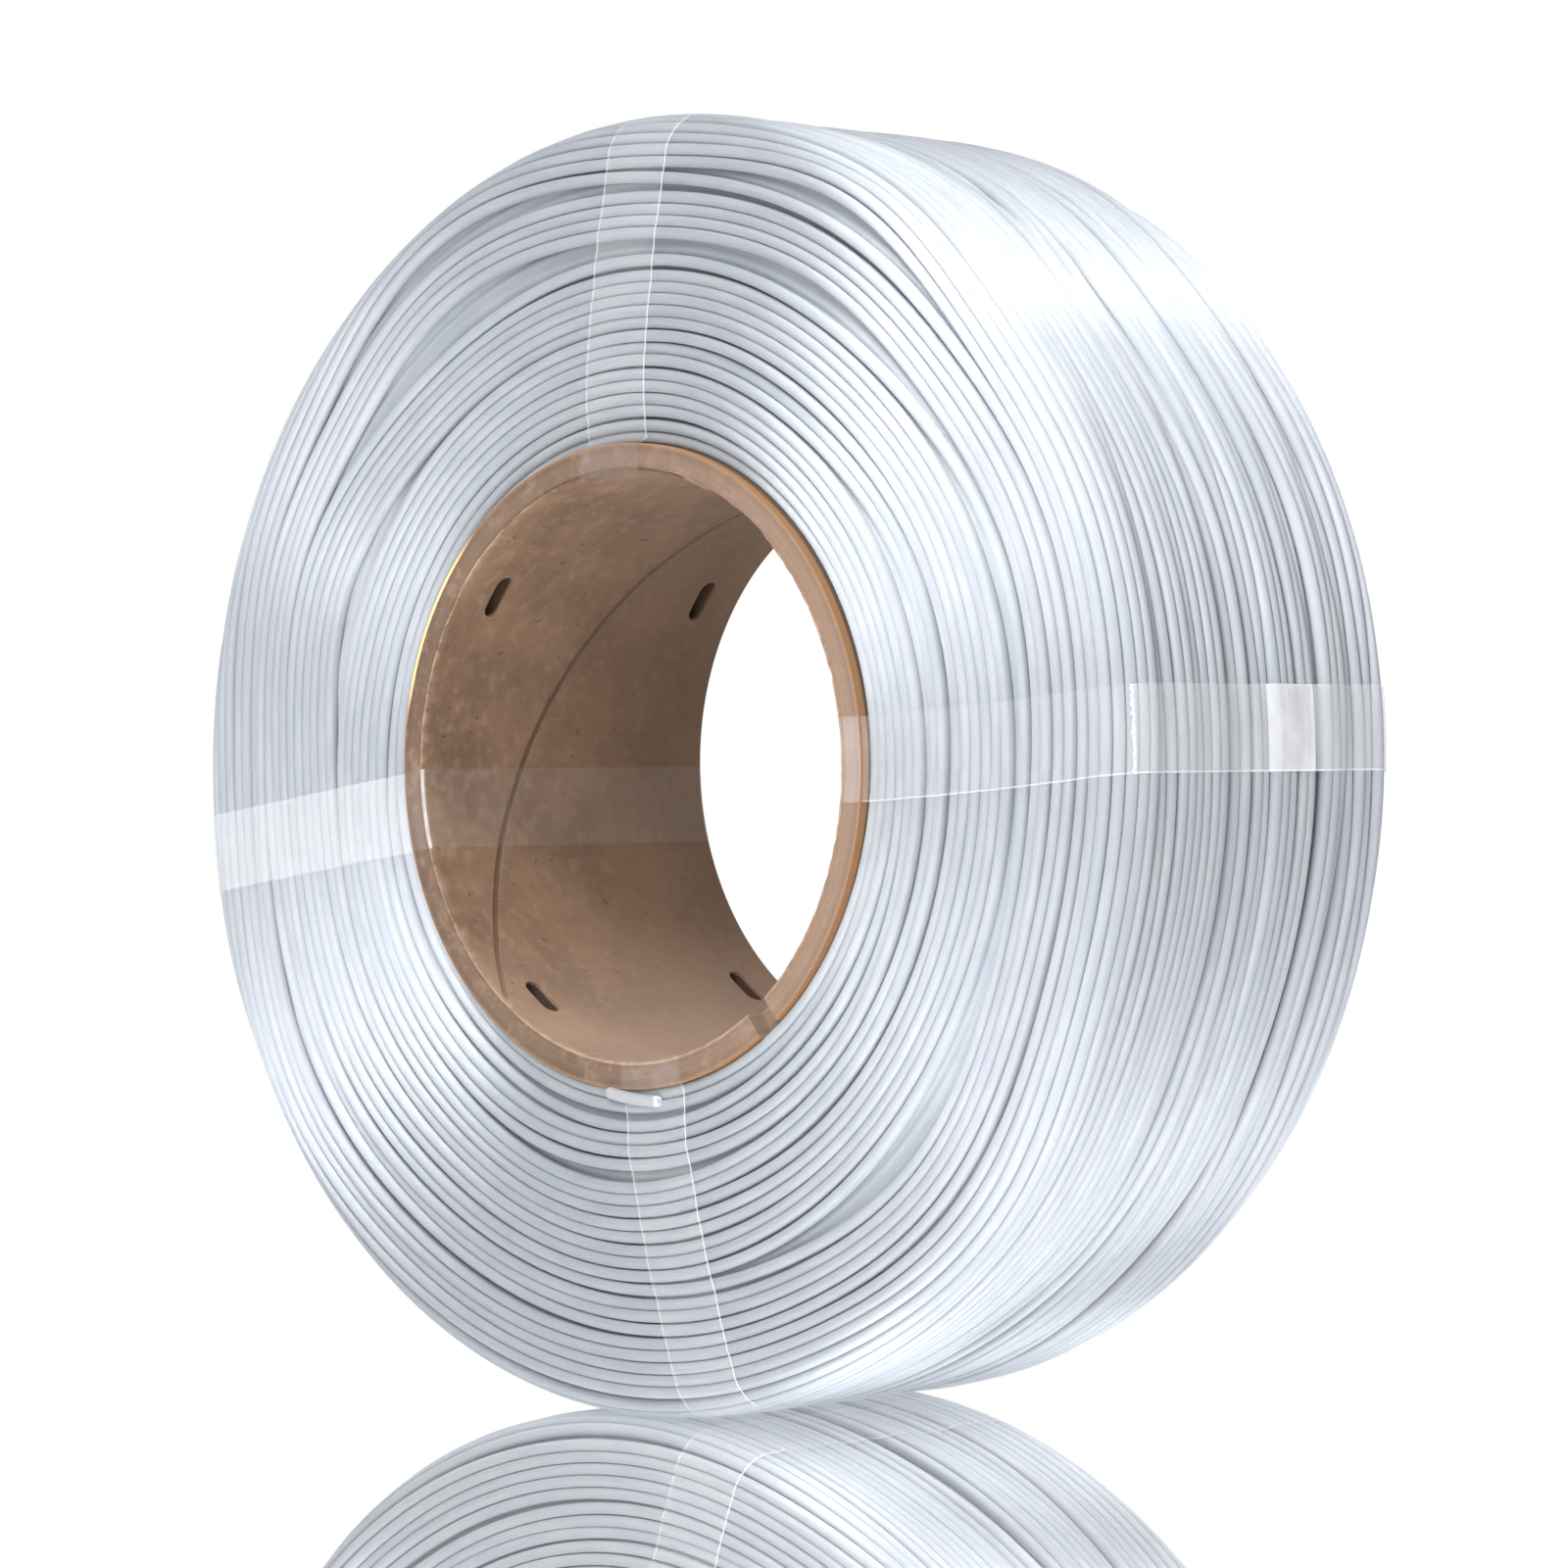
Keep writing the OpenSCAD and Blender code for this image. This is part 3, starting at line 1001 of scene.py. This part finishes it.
# Angle of each strap at the core, and how far it has turned where it crosses the rim
TAPE_ANGLES = {"top": (93.9, -5.4), "left": (189, 0), "bottom": (-83, 5), "right": (1.6, 1.9)}
# Drawing steps of a tape: length of one along the turns, points across, points round a bend and in the bore
TAPE_STEP = 0.3 * MM
TAPE_COLS = 33
BEND_STEPS = 7
BORE_STEPS = 90
# Radius of the bends at the ends of the core, and the tape's height above the turns, the ends and the bore
TAPE_BEND = 0.6 * MM
TAPE_LIFT = 0.15 * MM
END_LIFT = 0.08 * MM
BORE_LIFT = 0.1 * MM
# How far inside the outer edge of the core's end the tape leaves it for the turns
END_INSET = 0.3 * MM
# Width of the strip along a cut edge that carries the painted highlight, and where the next points lie, as a
# multiple of it
CUT_EDGE_W = 0.22 * MM
CUT_EDGE_REACH = 1.1
# How milky the tape looks on the bare paper of the bore
BORE_HAZE = 0.035
# Least and most brightness of a torn start
TORN_BRIGHTNESS = (0.2, 0.9)
# Layers on top of the right tape: start and end from the middle of the rim, lift, haze and raggedness of the
# start
RIGHT_LAPS = (
    (-27.0 * MM, 34.0 * MM, 0.18 * MM, 0.18, 0.4 * MM),
    (0.2 * MM, 11.2 * MM, 0.26 * MM, 0.6, 0.0),
    (11.2 * MM, 15.5 * MM, 0.26 * MM, 0.2, 0.0),
)


def across_tape():
    """Places across the tape, with a narrow strip along each edge."""
    half = TAPE_W / 2
    inner = half - CUT_EDGE_REACH * CUT_EDGE_W
    edge = [half - CUT_EDGE_W, half]
    return np.concatenate([[-half, CUT_EDGE_W - half], np.linspace(-inner, inner, TAPE_COLS - 4), edge])


def edge_lines(rows, edges):
    """Strength of the painted highlight on the two cut edges of a sheet of tape."""
    lines = np.zeros((rows, TAPE_COLS))
    lines[:, :2] = edges[0]
    lines[:, -2:] = edges[1]
    return lines


def build_tape(winding, material, place, haze, bend_haze_and_highlight, end_haze, edges, laps=()):
    """A loop of clear tape: through the bore, up the front face, over the rim and down the rear face.

    haze is how clouded it looks on the turns, bend_haze_and_highlight how clouded it looks where it bends
    into the bore, where its white also paints a highlight, and end_haze on the ends of the core. edges is the
    strength of the painted highlight on its two cut edges, and laps are the layers on top of it.
    """
    angle = TAPE_ANGLES[place]
    sheets = [tape_loop(winding, angle, haze, bend_haze_and_highlight, end_haze, edges)]
    for lap in laps:
        sheets.append(tape_lap(winding, angle, edges, *lap))
    join_sheets(f"tape_{place}", sheets, material, f"strap_{place}")


def over_turns(winding, angle, way, lift):
    """The stretch of tape that lies on the turns: radius, place along the axis and angle of each point."""
    rough_r, _ = winding.outline(way, 0 * way)
    at_core, skew = angle
    centre = at_core + skew * (rough_r - CORE_R) / (COIL_R - CORE_R)
    angles = centre + np.degrees(across_tape()[None, :] / rough_r)
    radius, along = winding.surface(way, angles, lift)
    return radius, along, angles


def tape_loop(winding, angle, haze, bend_haze_and_highlight, end_haze, edges):
    """Points, haze and edge brightness of a whole loop, and that it closes on itself."""
    way = np.clip(np.arange(0.0, winding.length + TAPE_STEP, TAPE_STEP), 0, winding.length)
    on_turns = over_turns(winding, angle, np.repeat(way[:, None], TAPE_COLS, 1), TAPE_LIFT)
    bore, bore_haze_and_highlight = bore_path(bend_haze_and_highlight, end_haze)
    bore_r = np.repeat(bore[:, :1], TAPE_COLS, 1)
    bore_y = np.repeat(bore[:, 1:], TAPE_COLS, 1)
    bore_angles = angle[0] + np.degrees(across_tape()[None, :] / bore_r)
    points = around_axis(*(np.concatenate(pair) for pair in zip(on_turns, (bore_r, bore_y, bore_angles))))
    all_haze_and_highlight = np.concatenate([np.full(len(way), haze), bore_haze_and_highlight])
    lines = edge_lines(len(points), edges)
    lines[len(way):] = 0
    return points, np.repeat(all_haze_and_highlight[:, None], TAPE_COLS, 1), lines, True


def tape_lap(winding, angle, edges, start, end, lift, haze, ragged):
    """A second layer of tape on the turns, whose start may be torn off unevenly."""
    rng = np.random.default_rng(3)
    way = winding.rim_middle + np.arange(start, end, TAPE_STEP)
    way = np.repeat(way[:, None], TAPE_COLS, 1)
    way[0] -= ragged * rng.uniform(0, 1, TAPE_COLS)
    points = around_axis(*over_turns(winding, angle, way, lift))
    lines = edge_lines(len(points), edges)
    if ragged > 0:
        lines[0] = rng.uniform(*TORN_BRIGHTNESS, TAPE_COLS)
    return points, np.full(points.shape[:2], haze), lines, False


def bore_path(bend_haze_and_highlight, end_haze):
    """The tape's way over the rear end of the core, through the bore and over the front end, and its haze,
    whose white paints a highlight where it bends into the bore.
    """
    turns = np.linspace(0, math.pi / 2, BEND_STEPS)
    end = HALF_LEN + END_LIFT
    bend_r = BORE_R - BORE_LIFT + TAPE_BEND * (1 - np.sin(turns))
    bend_y = end - TAPE_BEND * (1 - np.cos(turns))
    on_end = [(CORE_R - END_INSET, end), (BORE_R + 2 * TAPE_BEND, end)]
    rear = np.concatenate([on_end, np.stack([bend_r, bend_y], -1)])
    front = rear[::-1] * [1, -1]
    through_y = np.linspace(rear[-1, 1], front[0, 1], BORE_STEPS + 2)[1:-1]
    through = np.stack([np.full(BORE_STEPS, rear[-1, 0]), through_y], -1)
    # Painted highlight: the haze rises to white at the middle of the bend into the bore.
    bend_milk_and_highlight = BORE_HAZE + (bend_haze_and_highlight - BORE_HAZE) * np.sin(2 * turns) ** 2
    rear_haze_and_highlight = np.concatenate([[end_haze, end_haze], bend_milk_and_highlight])
    haze = np.concatenate([rear_haze_and_highlight, np.full(BORE_STEPS, BORE_HAZE), rear_haze_and_highlight[::-1]])
    return np.concatenate([rear, through, front]), haze


def join_sheets(name, sheets, material, node):
    """One piece from sheets of points, haze, edge brightness and whether each closes on itself."""
    faces, uvs = [], []
    start = 0
    for sheet, _, _, looped in sheets:
        rows, cols = sheet.shape[:2]
        quads, places = grid_faces(rows, cols, looped, False)
        faces.append(quads + start)
        uvs.append(places * [TAPE_STEP / TAPE_W, 1 / (cols - 1)])
        start += rows * cols
    points = np.concatenate([rest_on_floor(sheet).reshape(-1, 3) for sheet, _, _, _ in sheets])
    values = {
        "HazeAndBendHighlight": np.concatenate([haze.ravel() for _, haze, _, _ in sheets]),
        "Edge": np.concatenate([edge.ravel() for _, _, edge, _ in sheets]),
    }
    obj = mesh_object(name, points, np.concatenate(faces), np.concatenate(uvs), values)
    finish_piece(obj, material, "clear_tape", node)


# ---- Studio ----

FLOOR_SIZE = 6.0
WORLD_GREY = (0.34, 0.34, 0.34)

CAMERA_AZIMUTH = 43.6
CAMERA_ELEVATION = 0.54
CAMERA_DISTANCE = 0.8178
FOCAL_LENGTH = 125.7
SENSOR_W = 36
CAMERA_SHIFT = (0.0115, -0.0122)
# How far the camera stands to the right, as a share of its distance
CAMERA_SIDE = 0.69

LAMP_DISTANCE = 1.3
SOFTBOX = (0.45, 0.45)
NARROW_SOFTBOX = (0.6, 0.35)
WIDE_SOFTBOX = (0.6, 0.6)
# Angle, reach and power of the softboxes whose gleams fall on the upper and the lower half of the turns
UPPER_BANDS = ((12, 1.2, 1.1), (18, 1.2, 4.6), (30, 1.15, 6.0))
LOWER_BANDS = ((12, 1.2, 1.1), (25, 1.2, 3.2), (36, 1.35, 5.2), (42, 1.35, 2.9), (62, 1.15, 6.3))
# Angle and power of the lamps that stand nearer the coil
NEAR_BANDS = ((42, 0.6), (50, 1.6), (58, 0.8), (65, 0.5))
NEAR_REACH = 1.1
NEAR_SOFTBOX = (0.25, 0.25)
# Distance of the near lamps from the turns that they light most, and the radius of those turns
NEAR_LAMP = 0.5
GLEAM_R = 75 * MM
# Name, direction, size and power of the soft lamps round the coil
ROOM_SOFTBOXES = (
    ("front", (0.35, -0.93, 0.0), NARROW_SOFTBOX, 0.9),
    ("right", (0.95, -0.3, 0.0), NARROW_SOFTBOX, 0.9),
    ("rear_right", (0.9, 0.4, 0.0), WIDE_SOFTBOX, 1.2),
    ("rear", (-0.27, 0.93, 0.29), WIDE_SOFTBOX, 7.0),
    ("rear_low", (-0.27, 0.75, -0.81), WIDE_SOFTBOX, 3.5),
)


def build_floor(level):
    """The floor casts no shadow, so lamps below it light the coil too."""
    bpy.ops.mesh.primitive_plane_add(size=FLOOR_SIZE, location=(0, 0, level))
    floor = bpy.context.object
    floor.name = "floor"
    floor.data.materials.append(floor_material())
    floor.visible_shadow = False


def aim(obj, place):
    """Puts a lamp or the camera at a place, looking at the centre of the coil."""
    bpy.context.scene.collection.objects.link(obj)
    obj.location = place
    obj.rotation_euler = (-place).to_track_quat("-Z", "Y").to_euler()


def area_light(name, direction, distance, size, power):
    data = bpy.data.lights.new(name, "AREA")
    data.shape = "RECTANGLE"
    data.size, data.size_y = size
    data.energy = power
    light = bpy.data.objects.new(name, data)
    light.visible_camera = False
    aim(light, Vector(direction).normalized() * distance)


def mirror_direction(band, reach, side=1):
    """Direction of a lamp whose gleam on the turns falls at an angle round the axis. The further the lamp
    stands off the camera's mirror image, the narrower the gleam. A side of -1 puts it below the coil."""
    turn = math.radians(band)
    x = reach * math.cos(turn) - CAMERA_SIDE
    z = reach * math.sin(turn)
    return x, -math.sqrt(max(0.0, 1 - x * x - z * z)), side * z


def build_lights():
    """Softboxes placed by where their gleams fall on the turns, and soft lamps round the coil."""
    for half, side, bands in (("upper", 1, UPPER_BANDS), ("lower", -1, LOWER_BANDS)):
        for band, reach, power in bands:
            direction = mirror_direction(band, reach, side)
            area_light(f"{half}_softbox_{band}", direction, LAMP_DISTANCE, SOFTBOX, power)
    for band, power in NEAR_BANDS:
        turns = Vector(around_axis(np.array(GLEAM_R), -HALF_LEN, band))
        place = turns + Vector(mirror_direction(band, NEAR_REACH)) * NEAR_LAMP
        area_light(f"near_softbox_{band}", place, place.length, NEAR_SOFTBOX, power)
    for name, direction, size, power in ROOM_SOFTBOXES:
        area_light(f"{name}_softbox", direction, LAMP_DISTANCE, size, power)


def build_world():
    """White where the camera sees it, directly or in the floor, and grey as a light on the coil."""
    world = bpy.data.worlds.new("studio")
    bpy.context.scene.world = world
    world.use_nodes = True
    tree = world.node_tree
    background = tree.nodes["Background"]
    path = tree.nodes.new("ShaderNodeLightPath")
    share = maths(tree, "MAXIMUM", path.outputs["Is Camera Ray"], path.outputs["Is Singular Ray"])
    tree.links.new(blend_colours(tree, share, WORLD_GREY, WHITE), background.inputs["Color"])


def build_camera():
    """The camera looks at the centre of the bore from the front right, a little above it."""
    data = bpy.data.cameras.new("camera")
    data.sensor_width = SENSOR_W
    data.lens = FOCAL_LENGTH
    data.shift_x, data.shift_y = CAMERA_SHIFT
    camera = bpy.data.objects.new("camera", data)
    azimuth, elevation = math.radians(CAMERA_AZIMUTH), math.radians(CAMERA_ELEVATION)
    place = Vector((
        math.sin(azimuth) * math.cos(elevation),
        -math.cos(azimuth) * math.cos(elevation),
        math.sin(elevation),
    )) * CAMERA_DISTANCE
    aim(camera, place)
    bpy.context.scene.camera = camera


# ---- The scene ----


def build_filament(winding):
    silk = silk_filament()
    build_turns(winding, silk)
    build_start_end(silk)
    build_buried_turns(winding, silk)


def build_core(frame):
    dress_core(frame)
    build_slot_shade_floors()
    build_liner(paper("liner", *LINER_TONES, seam=True))


def build_tapes(winding):
    tape = clear_tape()
    build_tape(winding, tape, "top", haze=0.05, bend_haze_and_highlight=0.06, end_haze=0.03, edges=(0.3, 0.2))
    # The left tape's white at the bend into the bore is a painted highlight.
    build_tape(winding, tape, "left", haze=0.2, bend_haze_and_highlight=0.45, end_haze=0.05, edges=(0.0, 0.0))
    build_tape(winding, tape, "bottom", haze=0.05, bend_haze_and_highlight=0.06, end_haze=0.05, edges=(0.2, 0.35))
    right = {"haze": 0.06, "bend_haze_and_highlight": 0.15, "end_haze": 0.12, "edges": (0.2, 0.0)}
    build_tape(winding, tape, "right", **right, laps=RIGHT_LAPS)


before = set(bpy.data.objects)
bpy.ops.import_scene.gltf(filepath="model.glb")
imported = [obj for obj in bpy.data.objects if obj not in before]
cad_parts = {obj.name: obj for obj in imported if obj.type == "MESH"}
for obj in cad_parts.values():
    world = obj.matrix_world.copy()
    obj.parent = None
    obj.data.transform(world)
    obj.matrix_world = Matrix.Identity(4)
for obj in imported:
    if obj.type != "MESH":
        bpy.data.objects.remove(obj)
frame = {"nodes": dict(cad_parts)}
cad_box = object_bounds()
bpy.context.scene.view_settings.view_transform = "Standard"

winding = Winding(seed=11)
build_filament(winding)
build_core(frame)
build_tapes(winding)

build_floor(cad_box[0][2])
build_lights()
build_world()
build_camera()
